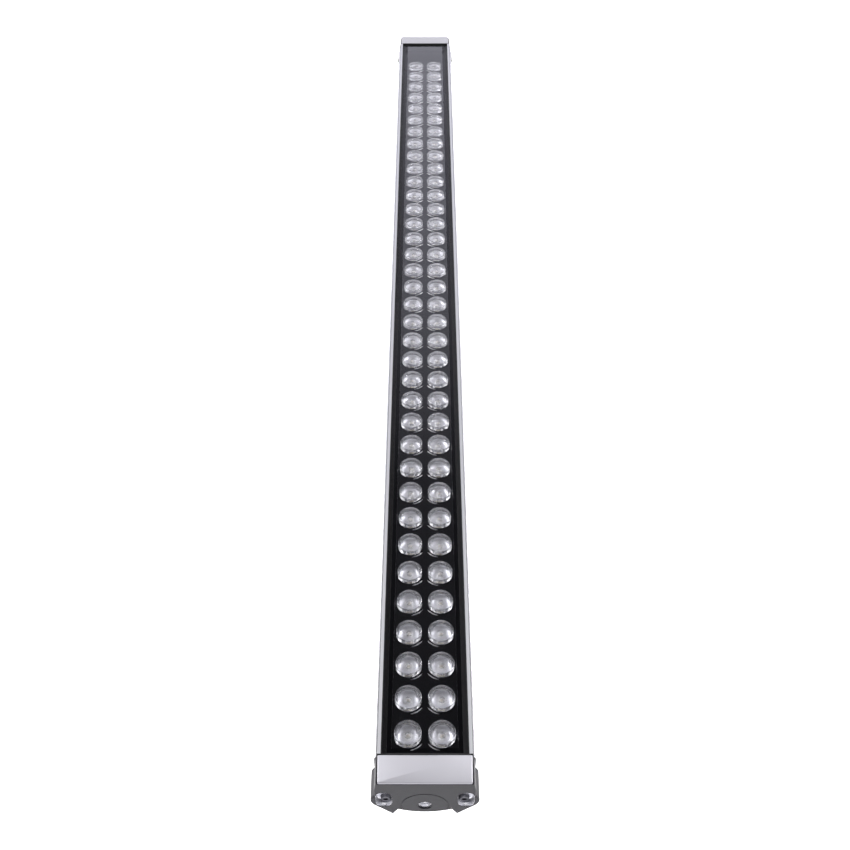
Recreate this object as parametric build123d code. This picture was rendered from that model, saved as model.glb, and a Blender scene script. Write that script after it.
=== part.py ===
from build123d import *
import math
import os

# LED strip batten: a long extruded housing with two columns of lenses under flat glass, a cast cap
# at each end, and two tilting feet underneath. X runs across, Y along, Z up. The origin is on the
# floor under the middle. Sections are drawn with Z = 0 at the top of the rims and go down from
# there; every finished piece is lifted by rim_height when it is written.

# ---------------------------------------------------------------- driving sizes, mm
# Length and lens array
profile_length = 958.0      # extruded housing, without gaskets and caps
end_gasket_thick = 1.0
cap_depth = 18.5            # each cast end cap, along Y
row_gap = 8.3               # lens to lens along Y
column_gap = 4.3            # lens to lens along X
board_count = 4
board_end_margin = 11.0     # least space between the last board and the profile's end

# Housing section, half-widths from the centre line
mask_border = 6.4           # trough wall to the inside of the rim
rim_wall = 2.1
shelf_width = 2.1           # side shelf that stands out below each rim
shelf_depth = 5.0
shadow_groove = 0.6
ledge_reach = 3.0           # ledge that carries the mask flange, inwards from the rim
ledge_thick = 2.5
side_wall = 2.0
web_thick = 2.5
belly_wall = 2.0
belly_half = 12.0
driver_space = 5.3          # clear height under the web
foot_ridge_drop = 2.5       # foot ridges stand this much below the belly
foot_ridge_out = 21.5
foot_ridge_in = 18.5
notch_half = 16.5           # valley between a foot ridge and the belly
notch_rise = 3.0
screw_boss_radius = 3.8
side_corner_radius = 6.0
side_below_web = 0.5        # start of the sloping underside, below the web
cavity_wing_out = 7.5       # lower cavity beyond the notch, outwards
cavity_wing_in = 2.0        # and inwards
cavity_slope = 0.5          # the cavity's floor is narrower than the belly by this, each side

# Glass, gasket and mask
glass_recess = 1.8
glass_thick = 4.0
glass_edge_gap = 0.5        # filled by the sealant bead
gasket_thick = 0.8
gasket_width = 3.0
flange_thick = 1.2
mask_wall = 1.2
mask_floor_thick = 1.5
mask_fit = 0.2
trough_margin = 1.15        # trough wall to the edge of a lens, across
end_flange = 4.0
trough_corner_radius = 3.0
collar_width = 1.4
collar_height = 0.6
collar_bevel = 0.6
hole_gap = 0.3              # lens to mask hole, on the radius

# Lens, holder, LED and board
lens_radius = 8.85
lens_drop = 10.2            # glass underside to lens top
lens_stand = 4.0            # lens top to mask floor
lens_skirt = 5.8            # straight side of the lens
lens_height = 8.2
lens_shoulder = 0.85
lens_tip_radius = 3.6
lens_ring_radius = 5.5      # dished centre of the top face
lens_dish_depth = 0.7
lens_dish_lean = 0.35       # slope of the dish at its rim
lens_cavity_radius = 2.4
lens_cavity_depth = 2.5
holder_wall = 1.3
holder_play = 0.2           # lens cone to holder, on the radius
board_gap = 0.8             # lens tip to board
board_thick = 1.6
board_edge_gap = 1.0        # board's long edge inside the trough wall
board_joint_gap = 2.0
pad_thick = 0.4
emitter_side = 3.5
emitter_base_height = 0.8
emitter_dome_radius = 1.3

# End caps
cap_top_over = 0.4          # top of the cap beyond the rim's outside
cap_shoulder_over = 1.8
cap_shoulder_depth = 11.0
lobe_inset = 2.0            # centre of a side lobe inside the rim's inner face
lobe_centre_depth = 23.0
lobe_radius = 8.3
cap_below_profile = 1.0     # cap feet reach this much below the profile's
cap_foot_x = 20.0
cap_edge_radius = 1.2
cap_face_wall = 5.0
cap_pocket_half = 16.0
cap_pocket_top = 4.0
cap_pocket_bottom = 20.0
cap_belly_bow = 0.9         # the cap's belly bows this much below the profile's
cap_notch_cover = 0.4       # and its notch is this much lower
plate_thick = 1.2
plate_over = 0.2            # plate beyond the rim's outside
plate_taper = 0.7           # plate is narrower by this much at its outer end, each side
recess_top = 12.3
recess_radius = 5.2
recess_length = 17.3
recess_depth = 5.0
cap_screw_radius = 2.0
cap_screw_head_radius = 3.0
cap_screw_head_height = 2.4
cap_screw_in = 1.0          # screw axis inside the lobe's centre
cap_screw_rise = 3.6        # screw axis above the bottom of its recess
cap_screw_bite = 12.0
cap_screw_clearance = 0.35
cap_socket_half = 1.5       # half across the flats
cap_socket_depth = 1.4
cap_head_bevel = 0.3
centre_hole_radius = 4.5
centre_hole_depth = 28.7
centre_lip = 1.2
face_ring_radius = 15.0     # shallow turned ring round the centre hole
face_ring_width = 0.6
face_ring_depth = 0.3
insert_radius = 6.0
insert_bore_radius = 3.4
insert_length = 14.0

# Small fixings
screw_play = 0.05           # gap round a screw in its tapped hole
board_screw_radius = 1.5
board_screw_head_radius = 2.8
board_screw_head_height = 1.8
board_screw_cross_length = 3.0
board_screw_cross_width = 0.7
board_screw_cross_depth = 1.0

# Links between boards
link_width = 8.0
link_clearance = 1.5        # link to the holders beside it
link_height = 2.2
link_slot_width = 6.0
link_slot_length = 3.0
link_slot_depth = 0.8

# Driver, leads, glands and vent
driver_length = 300.0
driver_half_width = 10.5
driver_board_thick = 1.6
driver_lift = 0.3
component_clearance = 0.4   # tallest component to the web
capacitor_radius = 4.0
capacitor_x = -4.5
capacitor_first_y = 40.0
capacitor_pitch = 28.0
capacitor_count = 4         # in each half of the board
chip_x = 5.0
chip_width = 6.0
chip_length = 8.0
chip_height = 1.6
connector_width = 20.0
connector_length = 7.0
connector_inset = 1.5       # connector to the end of the board
connector_step = 0.6        # connector top below the tallest component
lead_radius = 1.0
lead_x = 8.5
lead_lift = 1.4             # lead axis above the driver board
lead_gap = 1.0              # end of a lead to the gland nut
gland_inset = 60.0          # gland axis to the end of the profile
gland_bore_radius = 3.6
gland_thread_radius = 6.0
gland_flange_radius = 9.0
gland_flange_thick = 2.5
gland_drop = 13.0
gland_dome_step = 1.2
gland_dome_bevel = 2.0
gland_thread_proud = 1.0    # thread above the nut
gland_nut_radius = 9.0
gland_nut_thick = 2.5
vent_radius = 6.0
vent_stem_radius = 3.0
vent_thick = 2.5
vent_bevel = 0.8
vent_stem_proud = 0.2
vent_board_gap = 1.0        # driver board round the vent's stem

# Tilting feet
stand_height = 30.0         # floor to the lowest edge of the caps
bracket_inset = 150.0       # bracket's middle to the end of the profile
ear_plate_half = 9.0
ear_plate_length = 32.0
ear_plate_thick = 3.0
ear_thick = 3.0
ear_radius = 8.0
pivot_height = 16.3         # pivot axis above the floor
pivot_radius = 3.0
pivot_clearance = 0.08
washer_thick = 0.8
lug_gap = 0.1
lug_thick = 6.0
lug_radius = 8.0
foot_half_width = 19.0
foot_length = 70.0
foot_thick = 3.0
foot_corner_radius = 4.0
slot_spacing = 44.0
slot_length = 12.0
slot_radius = 2.75
pivot_head_side = 10.0      # across flats
pivot_head_height = 4.0
pivot_nut_height = 5.0
pivot_bolt_proud = 1.0      # bolt beyond its nut
ear_screw_radius = 2.0
ear_screw_head_radius = 3.8
ear_screw_head_height = 2.2
ear_screw_spacing = 24.0
ear_screw_bevel = 0.5
ear_socket_half = 1.25
ear_socket_depth = 1.4
nut_bar_thick = 3.0
nut_bar_width = 14.0
nut_bar_overhang = 8.0      # bar beyond each of its screws

touch = 0.01                # how close counts as at the same place

# ---------------------------------------------------------------- worked-out sizes
row_pitch = 2 * lens_radius + row_gap
column_pitch = 2 * lens_radius + column_gap
column_x = column_pitch / 2
trough_half = column_x + lens_radius + trough_margin
rim_inner = trough_half + mask_border
rim_outer = rim_inner + rim_wall
side_half = rim_outer + shelf_width
glass_bottom = glass_recess + glass_thick
flange_top = glass_bottom + gasket_thick
ledge_top = flange_top + flange_thick
ledge_bottom = ledge_top + ledge_thick
ledge_inner = rim_inner - ledge_reach
lens_top = glass_bottom + lens_drop
mask_floor = lens_top + lens_stand
lens_bottom = lens_top + lens_height
lens_ledge = lens_top + lens_skirt
board_top = lens_bottom + board_gap
board_bottom = board_top + board_thick
web_top = board_bottom + pad_thick
web_bottom = web_top + web_thick
belly_inside = web_bottom + driver_space
belly_depth = belly_inside + belly_wall
ridge_depth = belly_depth + foot_ridge_drop
cap_foot_depth = ridge_depth + cap_below_profile
notch_depth = belly_depth - notch_rise
side_bottom = web_bottom + side_below_web
cavity_half = side_half - side_wall
lobe_centre_x = rim_inner - lobe_inset
screw_x = lobe_centre_x - cap_screw_in
cap_top_half = rim_outer + cap_top_over
cap_shoulder_half = rim_outer + cap_shoulder_over
plate_half = rim_outer + plate_over
board_half_width = trough_half - board_edge_gap
holder_radius = lens_radius - lens_shoulder + holder_play + holder_wall
link_reach = math.sqrt(holder_radius ** 2 - (column_x - link_width / 2) ** 2) + link_clearance
link_length = row_pitch - 2 * link_reach
screw_depth = recess_top + recess_length - cap_screw_rise

profile_end = profile_length / 2
cap_inner = profile_end + end_gasket_thick
cap_outer = cap_inner + cap_depth
rows_per_board = int((profile_length - 2 * board_end_margin) / (row_pitch * board_count))
board_pitch = rows_per_board * row_pitch
row_count = rows_per_board * board_count
glass_half = rim_inner - glass_edge_gap
glass_end = profile_end - glass_edge_gap
trough_end = glass_end - end_flange
hole_radius = lens_radius + hole_gap
collar_radius = hole_radius + collar_width
gland_y = profile_end - gland_inset
rim_height = cap_foot_depth + stand_height
driver_board_top = belly_inside - driver_lift - driver_board_thick
component_height = driver_space - driver_lift - driver_board_thick - component_clearance
pivot_depth = rim_height - pivot_height
bracket_y = profile_end - bracket_inset


# ---------------------------------------------------------------- helpers
def mirrored(points):
    """A section's outline, from its right-hand points listed from top to bottom."""
    return [*points, *[(-x, z) for x, z in reversed(points)]]


def section(points):
    return make_face(Polyline(*mirrored(points), close=True))


def band(half_width, top, bottom):
    """A rectangle centred across, between two depths."""
    return section([(half_width, -top), (half_width, -bottom)])


def along(face, y_from, y_to):
    """Run a section along Y."""
    return Pos(0, y_to, 0) * extrude(Plane.XZ * face, amount=y_to - y_from)


def upright(radius, x, y, top, bottom):
    """A vertical cylinder between two depths."""
    return Pos(x, y, -bottom) * Cylinder(radius, bottom - top, align=(Align.CENTER, Align.CENTER, Align.MIN))


def lying(radius, x, depth, y_from, y_to):
    """A cylinder along Y."""
    return along(Pos(x, -depth) * Circle(radius), y_from, y_to)


def block(x, y, depth, width, length, height):
    """A box centred on x and y, with its top at a depth."""
    return Pos(x, y, -depth - height / 2) * Box(width, length, height)


def lens_spots(board):
    """Centres of one board's lenses."""
    first_row = board * rows_per_board - (row_count - 1) / 2
    rows = [(first_row + row) * row_pitch for row in range(rows_per_board)]
    return [(x, y) for y in rows for x in (-column_x, column_x)]


def all_spots():
    return [spot for board in range(board_count) for spot in lens_spots(board)]


def board_middle(board):
    return (board - (board_count - 1) / 2) * board_pitch


def board_screw_spots():
    """Screws on the centre line, each half way between two rows."""
    gaps = (1, rows_per_board // 2, rows_per_board - 1)
    return [board_middle(board) + (gap - rows_per_board / 2) * row_pitch
            for board in range(board_count) for gap in gaps]


def other_end(shape):
    return Rot(0, 0, 180) * shape


def save(name, shape):
    """Write one node, lifted to its height above the floor."""
    solids = shape.solids() if hasattr(shape, "solids") else [s for piece in shape for s in piece.solids()]
    lifted = [Pos(0, 0, rim_height) * solid for solid in solids]
    whole = lifted[0] if len(lifted) == 1 else Compound(children=lifted)
    export_step(whole, f"parts/{name}.step")


# ---------------------------------------------------------------- housing
def housing_outline():
    outline = section([
        (rim_outer, 0),
        (rim_outer, -shelf_depth - shadow_groove),
        (rim_outer + shadow_groove, -shelf_depth - shadow_groove),
        (rim_outer + shadow_groove, -shelf_depth),
        (side_half, -shelf_depth),
        (side_half, -side_bottom),
        (foot_ridge_out, -ridge_depth),
        (foot_ridge_in, -ridge_depth),
        (notch_half, -notch_depth),
        (belly_half, -belly_depth),
    ])
    corners = [v for v in outline.vertices() if abs(v.Y + side_bottom) < touch]
    outline = fillet(corners, side_corner_radius)
    shelf_edges = [v for v in outline.vertices()
                   if abs(v.Y + shelf_depth) < touch and abs(v.X) > side_half - touch]
    return fillet(shelf_edges, shelf_width / 3)


def lower_cavity():
    return section([
        (notch_half + cavity_wing_out, -web_bottom),
        (notch_half + cavity_wing_out, -notch_depth + belly_wall),
        (notch_half - cavity_wing_in, -notch_depth + belly_wall),
        (belly_half - cavity_slope, -belly_inside),
    ])


def housing_profile():
    face = housing_outline()
    face -= band(rim_inner, 0, ledge_top)
    face -= band(ledge_inner, ledge_top, ledge_bottom)
    face -= band(cavity_half, ledge_bottom, web_top)
    face -= lower_cavity()
    bosses = [Pos(x, -screw_depth) * Circle(screw_boss_radius) for x in (-screw_x, screw_x)]
    face += bosses
    face -= [Pos(x, -screw_depth) * Circle(cap_screw_radius + screw_play) for x in (-screw_x, screw_x)]
    body = along(face, -profile_end, profile_end)
    board_holes = [upright(board_screw_radius + screw_play, 0, y, web_top, web_bottom)
                   for y in board_screw_spots()]
    belly_holes = [upright(gland_thread_radius + screw_play, 0, y, belly_inside, belly_depth)
                   for y in (-gland_y, gland_y)]
    belly_holes += [upright(vent_stem_radius + screw_play, 0, 0, belly_inside, belly_depth)]
    belly_holes += [upright(ear_screw_radius + screw_play, 0, y, belly_inside, belly_depth)
                    for y in ear_screw_spots()]
    return body - board_holes - belly_holes


def end_gasket():
    """Flat seal with a cap's outline, between it and the profile, at the -Y end."""
    face = cap_outline() + band(cap_top_half, 0, plate_thick)
    face -= band(board_half_width, ledge_bottom, web_top)
    face -= lower_cavity()
    face -= [Pos(x, -screw_depth) * Circle(cap_screw_radius + screw_play) for x in (-screw_x, screw_x)]
    return along(face, -cap_inner, -profile_end)


# ---------------------------------------------------------------- glass, gasket and mask
def cover_glass():
    return along(band(glass_half, glass_recess, glass_bottom), -glass_end, glass_end)


def glass_sealant():
    bead = Box(2 * rim_inner, 2 * profile_end, glass_thick) - Box(2 * glass_half, 2 * glass_end, glass_thick)
    return Pos(0, 0, -glass_recess - glass_thick / 2) * bead


def glass_gasket():
    ring = Box(2 * glass_half, 2 * glass_end, gasket_thick)
    ring -= Box(2 * (glass_half - gasket_width), 2 * (glass_end - gasket_width), gasket_thick)
    return Pos(0, 0, -glass_bottom - gasket_thick / 2) * ring


def hole_cutter():
    """A lens hole with its bevelled mouth, at the origin in plan."""
    top = mask_floor - collar_height
    low = mask_floor + mask_floor_thick
    wide = hole_radius + collar_bevel
    outline = Polyline((0, -top), (wide, -top), (hole_radius, -top - collar_bevel), (hole_radius, -low),
                       (0, -low), close=True)
    return revolve(Plane.XZ * make_face(outline), Axis.Z)


def lens_mask():
    flange_half = rim_inner - mask_fit
    tray = Box(2 * flange_half, 2 * glass_end, flange_thick)
    tray = Pos(0, 0, -flange_top - flange_thick / 2) * tray
    outer_depth = mask_floor + mask_floor_thick - flange_top
    outer = RectangleRounded(2 * (trough_half + mask_wall), 2 * (trough_end + mask_wall),
                             trough_corner_radius + mask_wall)
    inner = RectangleRounded(2 * trough_half, 2 * trough_end, trough_corner_radius)
    tray += Pos(0, 0, -flange_top - outer_depth) * extrude(outer, amount=outer_depth)
    tray -= Pos(0, 0, -mask_floor) * extrude(inner, amount=mask_floor)
    collar = upright(collar_radius, 0, 0, mask_floor - collar_height, mask_floor)
    cutter = hole_cutter()
    tray += [Pos(x, y, 0) * collar for x, y in all_spots()]
    return tray - [Pos(x, y, 0) * cutter for x, y in all_spots()]


# ---------------------------------------------------------------- optics and boards
def lens():
    """One clear lens: dished top, straight skirt, cone, and a cavity over the LED."""
    shoulder = lens_radius - lens_shoulder
    dish = Spline((lens_ring_radius, -lens_top), (0, -lens_top - lens_dish_depth),
                  tangents=((-1, -lens_dish_lean), (-1, 0)))
    rest = Polyline((0, -lens_top - lens_dish_depth), (0, -lens_bottom + lens_cavity_depth),
                    (lens_cavity_radius, -lens_bottom + lens_cavity_depth),
                    (lens_cavity_radius, -lens_bottom), (lens_tip_radius, -lens_bottom),
                    (shoulder, -lens_ledge), (lens_radius, -lens_ledge), (lens_radius, -lens_top),
                    (lens_ring_radius, -lens_top))
    return revolve(Plane.XZ * make_face([*dish.edges(), *rest.edges()]), Axis.Z)


def lens_holder():
    """Ring that stands on the board and carries a lens by its shoulder."""
    ring = upright(holder_radius, 0, 0, lens_ledge, board_top)
    return ring - upright(holder_radius - holder_wall, 0, 0, lens_ledge, board_top)


def emitter():
    base = block(0, 0, board_top - emitter_base_height, emitter_side, emitter_side, emitter_base_height)
    dome = Pos(0, 0, -board_top + emitter_base_height) * Sphere(emitter_dome_radius)
    return base + (dome & block(0, 0, board_top - 3 * emitter_base_height, emitter_side, emitter_side,
                                2 * emitter_base_height))


def copies(shape, spots):
    return [Pos(x, y, 0) * shape for x, y in spots]


def led_board(board):
    length = board_pitch - board_joint_gap
    plate = block(0, board_middle(board), board_top, 2 * board_half_width, length, board_thick)
    return plate - [upright(board_screw_radius + screw_play, 0, y, board_top, board_bottom)
                    for y in board_screw_spots() if abs(y - board_middle(board)) < length / 2]


def thermal_pads():
    pads = []
    for board in range(board_count):
        pad = block(0, board_middle(board), board_bottom, 2 * board_half_width - 2,
                    board_pitch - board_joint_gap, pad_thick)
        pads.append(pad - [upright(board_screw_radius + screw_play, 0, y, board_bottom, web_top)
                           for y in board_screw_spots()])
    return pads


def board_screws():
    length = board_thick + pad_thick + web_thick
    screw = upright(board_screw_radius, 0, 0, board_top, board_top + length)
    screw += upright(board_screw_head_radius, 0, 0, board_top - board_screw_head_height, board_top)
    long, wide, deep = board_screw_cross_length, board_screw_cross_width, 2 * board_screw_cross_depth
    cross = Box(wide, long, deep) + Box(long, wide, deep)
    screw -= Pos(0, 0, -board_top + board_screw_head_height) * cross
    return copies(screw, [(0, y) for y in board_screw_spots()])


def board_links():
    """Small connectors that join neighbouring boards."""
    joints = [(board_middle(board) + board_middle(board + 1)) / 2 for board in range(board_count - 1)]
    top = board_top - link_height
    link = block(0, 0, top, link_width, link_length, link_height)
    link -= block(0, 0, top, link_slot_width, link_slot_length, link_slot_depth)
    return copies(link, [(0, y) for y in joints])


# ---------------------------------------------------------------- driver, leads, glands, vent
def driver_board():
    plate = block(0, 0, driver_board_top, 2 * driver_half_width, driver_length, driver_board_thick)
    return plate - upright(vent_stem_radius + vent_board_gap, 0, 0, web_bottom, belly_inside)


def driver_components():
    """Capacitors and chips in pairs, with a connector at each end of the board."""
    top = driver_board_top
    connector_height = component_height - connector_step
    connector_y = driver_length / 2 - connector_inset - connector_length / 2
    pieces = []
    for side in (-1, 1):
        for step in range(capacitor_count):
            y = side * (capacitor_first_y + capacitor_pitch * step)
            pieces.append(upright(capacitor_radius, capacitor_x, y, top - component_height, top))
            pieces.append(block(chip_x, y, top - chip_height, chip_width, chip_length, chip_height))
        pieces.append(block(0, side * connector_y, top - connector_height, connector_width,
                            connector_length, connector_height))
    return pieces


def supply_leads():
    """Two leads from each gland to the driver board's connectors."""
    depth = driver_board_top - lead_lift
    start = driver_length / 2 - connector_inset
    end = gland_y - gland_nut_radius - lead_gap
    leads = [lying(lead_radius, x, depth, start, end) for x in (-lead_x, lead_x)]
    return leads + [other_end(lead) for lead in leads]


def cable_gland():
    """Gland through the belly at the +Y end, with a bore for the cable."""
    stub_top = belly_inside - gland_nut_thick - gland_thread_proud
    body = upright(gland_thread_radius, 0, gland_y, stub_top, belly_depth)
    body += upright(gland_flange_radius, 0, gland_y, belly_depth, belly_depth + gland_flange_thick)
    low = belly_depth + gland_flange_thick + gland_drop
    dome = upright(gland_flange_radius - gland_dome_step, 0, gland_y, belly_depth + gland_flange_thick, low)
    body += chamfer(dome.faces().sort_by(Axis.Z)[0].edges(), gland_dome_bevel)
    return body - upright(gland_bore_radius, 0, gland_y, stub_top, low)


def gland_nut():
    nut = RegularPolygon(gland_nut_radius, 6)
    nut = Pos(0, gland_y, -belly_inside) * extrude(nut, amount=gland_nut_thick)
    return nut - upright(gland_thread_radius + screw_play, 0, gland_y, web_bottom, belly_inside)


def breather_vent():
    vent = upright(vent_radius, 0, 0, belly_depth, belly_depth + vent_thick)
    vent = chamfer(vent.faces().sort_by(Axis.Z)[0].edges(), vent_bevel)
    return vent + upright(vent_stem_radius, 0, 0, belly_inside - vent_stem_proud, belly_depth)


# ---------------------------------------------------------------- end caps, at the -Y end
def tangent_to_lobe(x, depth):
    """Where a line from a lower point touches the outside of the side lobe."""
    across = x - lobe_centre_x
    down = -depth + lobe_centre_depth
    towards = math.atan2(down, across)
    turn = math.acos(lobe_radius / math.hypot(across, down))
    return (lobe_centre_x + lobe_radius * math.cos(towards + turn),
            -lobe_centre_depth + lobe_radius * math.sin(towards + turn))


def cap_outline():
    """Shouldered head, two round side lobes, pointed feet and a bowed belly."""
    belly = belly_depth + cap_belly_bow
    notch = (notch_half, -notch_depth - cap_notch_cover)
    side = [(cap_top_half, -plate_thick), (cap_shoulder_half, -cap_shoulder_depth),
            tangent_to_lobe(cap_foot_x, cap_foot_depth), (cap_foot_x, -cap_foot_depth), notch]
    left = [(-x, z) for x, z in reversed(side)]
    edges = [*Polyline(*side).edges(), *ThreePointArc(side[-1], (0, -belly), left[0]).edges(),
             *Polyline(*left, side[0]).edges()]
    face = make_face(edges)
    for x in (-lobe_centre_x, lobe_centre_x):
        face += Pos(x, -lobe_centre_depth) * Circle(lobe_radius)
    return face


def end_cap():
    body = along(cap_outline(), -cap_outer, -cap_inner)
    front = body.faces().sort_by(Axis.Y)[0]
    seat = front.edges().sort_by(Axis.Z)[-1]
    body = fillet([edge for edge in front.edges() if edge is not seat], cap_edge_radius)
    body -= along(band(cap_pocket_half, cap_pocket_top, cap_pocket_bottom), -cap_outer + cap_face_wall,
                  -cap_inner)
    ring = Circle(face_ring_radius) - Circle(face_ring_radius - face_ring_width)
    body -= along(Pos(0, -centre_hole_depth) * ring, -cap_outer, -cap_outer + face_ring_depth)
    middle = recess_top + recess_length / 2
    for side in (-1, 1):
        recess = Pos(side * lobe_centre_x, -middle) * SlotOverall(recess_length, 2 * recess_radius, rotation=90)
        body -= along(recess, -cap_outer, -cap_outer + recess_depth)
        body -= lying(cap_screw_radius + cap_screw_clearance, side * screw_x, screw_depth,
                      -cap_outer, -cap_inner)
    body -= lying(centre_hole_radius, 0, centre_hole_depth, -cap_outer, -cap_outer + centre_lip)
    body -= lying(insert_radius + screw_play, 0, centre_hole_depth, -cap_outer + centre_lip, -cap_inner)
    return body


def end_top_plate():
    inner, outer = plate_half, plate_half - plate_taper
    plan = make_face(Polyline((-inner, -cap_inner), (inner, -cap_inner), (outer, -cap_outer),
                              (-outer, -cap_outer), close=True))
    plate = Pos(0, 0, -plate_thick) * extrude(plan, amount=plate_thick)
    front_edge = plate.edges().filter_by(Axis.X).group_by(Axis.Z)[-1].sort_by(Axis.Y)[0]
    return fillet(front_edge, plate_thick / 3)


def centre_insert():
    inner = -cap_outer + centre_lip + insert_length
    sleeve = lying(insert_radius, 0, centre_hole_depth, -cap_outer + centre_lip, inner)
    return sleeve - lying(insert_bore_radius, 0, centre_hole_depth, -cap_outer + centre_lip, inner)


def cap_screws():
    seat = -cap_outer + recess_depth
    screws = []
    for x in (-screw_x, screw_x):
        head = lying(cap_screw_head_radius, x, screw_depth, seat - cap_screw_head_height, seat)
        head = chamfer(head.faces().sort_by(Axis.Y)[0].edges(), cap_head_bevel)
        socket = Pos(x, -screw_depth) * RegularPolygon(cap_socket_half, 6, major_radius=False)
        top = seat - cap_screw_head_height
        head -= along(socket, top, top + cap_socket_depth)
        shank = lying(cap_screw_radius, x, screw_depth, seat, -profile_end + cap_screw_bite)
        screws.append(head + shank)
    return screws


# ---------------------------------------------------------------- tilting feet, at the -Y bracket
def ear_screw_spots():
    return [side * bracket_y + step * ear_screw_spacing / 2 for side in (-1, 1) for step in (-1, 1)]


def lug_face(radius, drop):
    """Round eye at the pivot, with straight sides up or down to a plate."""
    arm = Rectangle(2 * radius, abs(drop), align=(Align.CENTER, Align.MIN if drop > 0 else Align.MAX))
    return Pos(0, -pivot_depth) * (Circle(radius) + arm)


def ear_offset():
    """Inner face of an ear, from the bracket's middle."""
    return lug_thick / 2 + lug_gap + washer_thick


def ear_block():
    plate_bottom = belly_depth + ear_plate_thick
    body = block(0, 0, belly_depth, 2 * ear_plate_half, ear_plate_length, ear_plate_thick)
    face = lug_face(ear_radius, pivot_depth - plate_bottom)
    for side in (-1, 1):
        near, far = sorted((side * ear_offset(), side * (ear_offset() + ear_thick)))
        body += along(face, near, far)
    body -= lying(pivot_radius + screw_play, 0, pivot_depth, -ear_plate_length, ear_plate_length)
    for side in (-1, 1):
        body -= upright(ear_screw_radius + screw_play, 0, side * ear_screw_spacing / 2,
                          belly_depth, plate_bottom)
    return Pos(0, -bracket_y, 0) * body


def ear_screws():
    plate_bottom = belly_depth + ear_plate_thick
    screws = []
    for step in (-1, 1):
        y = -bracket_y + step * ear_screw_spacing / 2
        shank = upright(ear_screw_radius, 0, y, belly_inside - nut_bar_thick, plate_bottom)
        head = upright(ear_screw_head_radius, 0, y, plate_bottom, plate_bottom + ear_screw_head_height)
        head = chamfer(head.faces().sort_by(Axis.Z)[0].edges(), ear_screw_bevel)
        hexagon = extrude(RegularPolygon(ear_socket_half, 6, major_radius=False), amount=ear_socket_depth)
        socket = Pos(0, y, -plate_bottom - ear_screw_head_height) * hexagon
        screws.append(shank + (head - socket))
    return screws


def nut_bar():
    """Tapped bar inside the belly that the ear screws pull against."""
    bar = block(0, -bracket_y, belly_inside - nut_bar_thick, nut_bar_width,
                ear_screw_spacing + 2 * nut_bar_overhang, nut_bar_thick)
    return bar - [upright(ear_screw_radius + screw_play, 0, -bracket_y + step * ear_screw_spacing / 2,
                          belly_inside - nut_bar_thick, belly_inside) for step in (-1, 1)]


def pivot_bolt():
    outer = ear_offset() + ear_thick
    hexagon = Pos(0, -pivot_depth) * RegularPolygon(pivot_head_side / 2, 6, major_radius=False)
    bolt = along(hexagon, -outer - pivot_head_height, -outer)
    bolt += lying(pivot_radius, 0, pivot_depth, -outer, outer + pivot_nut_height + pivot_bolt_proud)
    return Pos(0, -bracket_y, 0) * bolt


def pivot_nut():
    outer = ear_offset() + ear_thick
    hexagon = Pos(0, -pivot_depth) * RegularPolygon(pivot_head_side / 2, 6, major_radius=False)
    nut = along(hexagon, outer, outer + pivot_nut_height)
    nut -= lying(pivot_radius + screw_play, 0, pivot_depth, outer, outer + pivot_nut_height)
    return Pos(0, -bracket_y, 0) * nut


def friction_washers():
    washers = []
    for side in (-1, 1):
        near, far = sorted((side * (lug_thick / 2 + lug_gap), side * ear_offset()))
        ring = lying(lug_radius - 1, 0, pivot_depth, near, far)
        ring -= lying(pivot_radius + screw_play, 0, pivot_depth, near, far)
        washers.append(Pos(0, -bracket_y, 0) * ring)
    return washers


def bracket_foot():
    """Slotted base plate with one upright lug that turns on the pivot bolt."""
    plan = RectangleRounded(2 * foot_half_width, foot_length, foot_corner_radius)
    foot = Pos(0, 0, -rim_height) * extrude(plan, amount=foot_thick)
    rise = pivot_height - foot_thick
    foot += along(lug_face(lug_radius, -rise), -lug_thick / 2, lug_thick / 2)
    foot -= lying(pivot_radius + pivot_clearance, 0, pivot_depth, -lug_thick, lug_thick)
    slot = extrude(SlotOverall(slot_length, 2 * slot_radius, rotation=90), amount=foot_thick)
    for side in (-1, 1):
        foot -= Pos(0, side * slot_spacing / 2, -rim_height) * slot
    return Pos(0, -bracket_y, 0) * foot


# ---------------------------------------------------------------- write every node
os.makedirs("parts", exist_ok=True)

save("housing_profile", housing_profile())
save("cover_glass", cover_glass())
save("glass_sealant", glass_sealant())
save("glass_gasket", glass_gasket())
save("lens_mask", lens_mask())

for number in range(board_count):
    save(f"lens_bank_{number + 1}", copies(lens(), lens_spots(number)))
    save(f"lens_holders_{number + 1}", copies(lens_holder(), lens_spots(number)))
    save(f"led_emitters_{number + 1}", copies(emitter(), lens_spots(number)))
    save(f"led_board_{number + 1}", led_board(number))

save("thermal_pads", thermal_pads())
save("board_screws", board_screws())
save("board_links", board_links())
save("driver_board", driver_board())
save("driver_components", driver_components())
save("supply_leads", supply_leads())
save("breather_vent", breather_vent())

save("cable_gland_rear", cable_gland())
save("cable_gland_front", other_end(cable_gland()))
save("gland_nut_rear", gland_nut())
save("gland_nut_front", other_end(gland_nut()))

end_pieces = {
    "end_cap": end_cap,
    "end_top_plate": end_top_plate,
    "end_gasket": end_gasket,
    "centre_insert": centre_insert,
    "ear_block": ear_block,
    "nut_bar": nut_bar,
    "pivot_bolt": pivot_bolt,
    "pivot_nut": pivot_nut,
    "bracket_foot": bracket_foot,
}
for name, make in end_pieces.items():
    piece = make()
    save(f"{name}_front", piece)
    save(f"{name}_rear", other_end(piece))

end_groups = {
    "cap_screws": cap_screws,
    "ear_screws": ear_screws,
    "friction_washers": friction_washers,
}
for name, make in end_groups.items():
    group = make()
    save(f"{name}_front", group)
    save(f"{name}_rear", [other_end(piece) for piece in group])
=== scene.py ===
import math

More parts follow.
